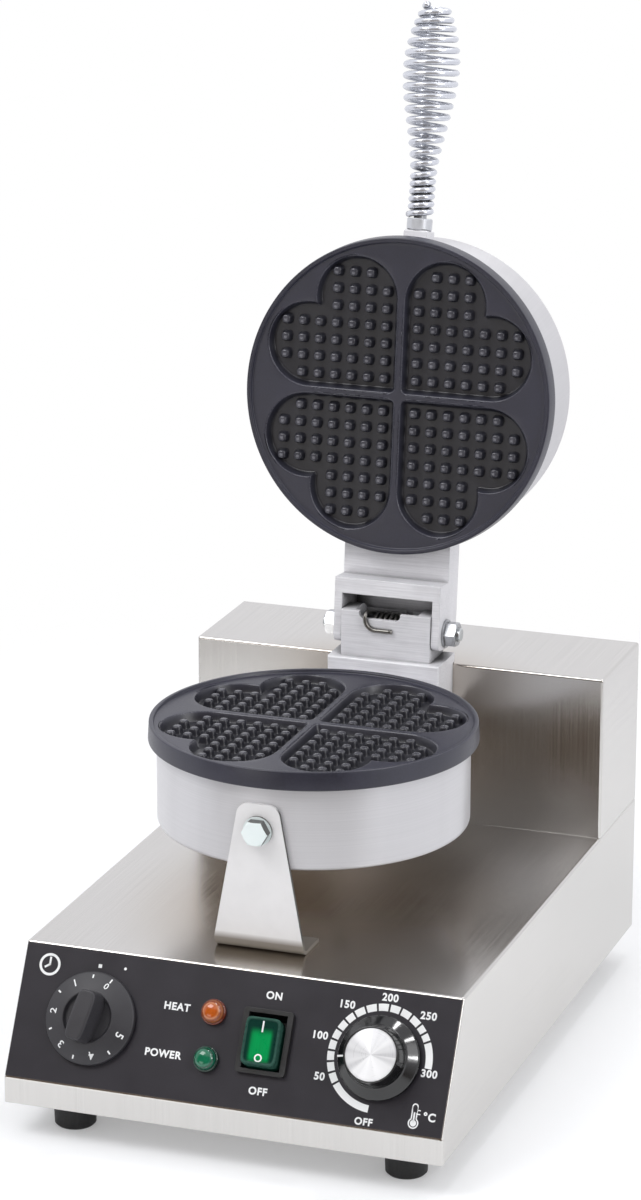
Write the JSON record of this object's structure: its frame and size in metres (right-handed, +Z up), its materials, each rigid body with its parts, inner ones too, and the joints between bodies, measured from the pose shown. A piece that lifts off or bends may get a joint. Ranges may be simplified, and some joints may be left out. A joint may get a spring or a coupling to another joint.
{
  "type": "waffle_maker",
  "caption": "Countertop heart waffle maker: hinged lid with a wire grip, studded heart plates, steel base with timer and thermostat knobs, lamps and a rocker switch.",
  "frame": {"origin": "under the middle of the bounding box, on the table", "axes": "+X to the right of the control panel, +Y to the back, +Z up"},
  "size_m": [0.25, 0.3958, 0.5711],
  "materials": {
    "sheet_steel": "brushed stainless sheet",
    "drum_steel": "spun stainless steel",
    "plate_coat": "cast aluminium with a matt dark non-stick coat",
    "cast_alloy": "cast aluminium, ground faces",
    "zinc_steel": "zinc plated fasteners",
    "spring_steel": "bright spring wire",
    "chrome_wire": "polished chrome wire",
    "heater_tube": "heat-tinted steel tube",
    "fascia_black": "matt printed film on sheet",
    "case_plastic": "moulded heat-proof plastic",
    "knob_black": "glossy black plastic",
    "spun_face": "spun aluminium",
    "amber_lens": "clear amber plastic",
    "green_lens": "clear green plastic",
    "green_rocker": "lit green plastic",
    "foot_rubber": "black rubber"
  },
  "bodies": {
    "base": {"base_housing": "sheet_steel", "bottom_plate": "sheet_steel", "rear_housing": "sheet_steel", "rear_cover": "sheet_steel", "front_bracket": "sheet_steel", "lower_casing": "drum_steel", "lower_plate": "plate_coat", "hinge_base": "cast_alloy", "bottom_screws": "zinc_steel", "rear_screws": "zinc_steel", "foot_screws": "zinc_steel", "lower_bolts": "zinc_steel", "bracket_bolt": "zinc_steel", "bracket_nut": "zinc_steel", "bracket_screws": "zinc_steel", "base_bolts": "zinc_steel", "control_nuts": "zinc_steel", "hinge_spring": "spring_steel", "lower_heater": "heater_tube", "lower_clamp": "heater_tube", "control_fascia": "fascia_black", "timer_body": "case_plastic", "thermostat_body": "case_plastic", "lamp_bodies": "case_plastic", "terminal_block": "case_plastic", "cable_gland": "case_plastic", "gland_nut": "case_plastic", "switch_body": "knob_black", "heat_lens": "amber_lens", "power_lens": "green_lens", "rubber_feet": "foot_rubber"},
    "lid": {"hinge_pin": "zinc_steel", "hinge_nuts": "zinc_steel", "hinge_arm": "cast_alloy", "arm_bolts": "zinc_steel", "upper_casing": "drum_steel", "upper_plate": "plate_coat", "upper_heater": "heater_tube", "upper_clamp": "heater_tube", "upper_bolts": "zinc_steel", "handle_lug": "cast_alloy", "handle_rod": "zinc_steel", "handle_nut": "zinc_steel", "handle_ferrule": "chrome_wire", "handle_coil": "chrome_wire"},
    "timer_dial": {"timer_knob": "knob_black"},
    "thermostat_dial": {"thermostat_knob": "knob_black", "thermostat_cap": "spun_face"},
    "switch_rocker": {"power_rocker": "green_rocker"}
  },
  "joints": [
    {"name": "lid_hinge", "type": "hinge", "parent": "base", "child": "lid", "pos_m": [0, 0.09412, 0.2188], "axis": [1, 0, 0], "range_deg": [0, 96], "deforming": ["hinge_spring"]},
    {"name": "timer_turn", "type": "hinge", "parent": "base", "child": "timer_dial", "pos_m": [-0.08, -0.17417, 0.06758], "axis": [0, -0.8794, 0.4761], "range_deg": [-265, 0]},
    {"name": "thermostat_turn", "type": "hinge", "parent": "base", "child": "thermostat_dial", "pos_m": [0.0841, -0.17399, 0.06793], "axis": [0, -0.8794, 0.4761], "range_deg": [-188, 82]},
    {"name": "rocker_tilt", "type": "hinge", "parent": "base", "child": "switch_rocker", "pos_m": [0.02, -0.17539, 0.0687], "axis": [1, 0, 0], "range_deg": [0, 20]}
  ]
}
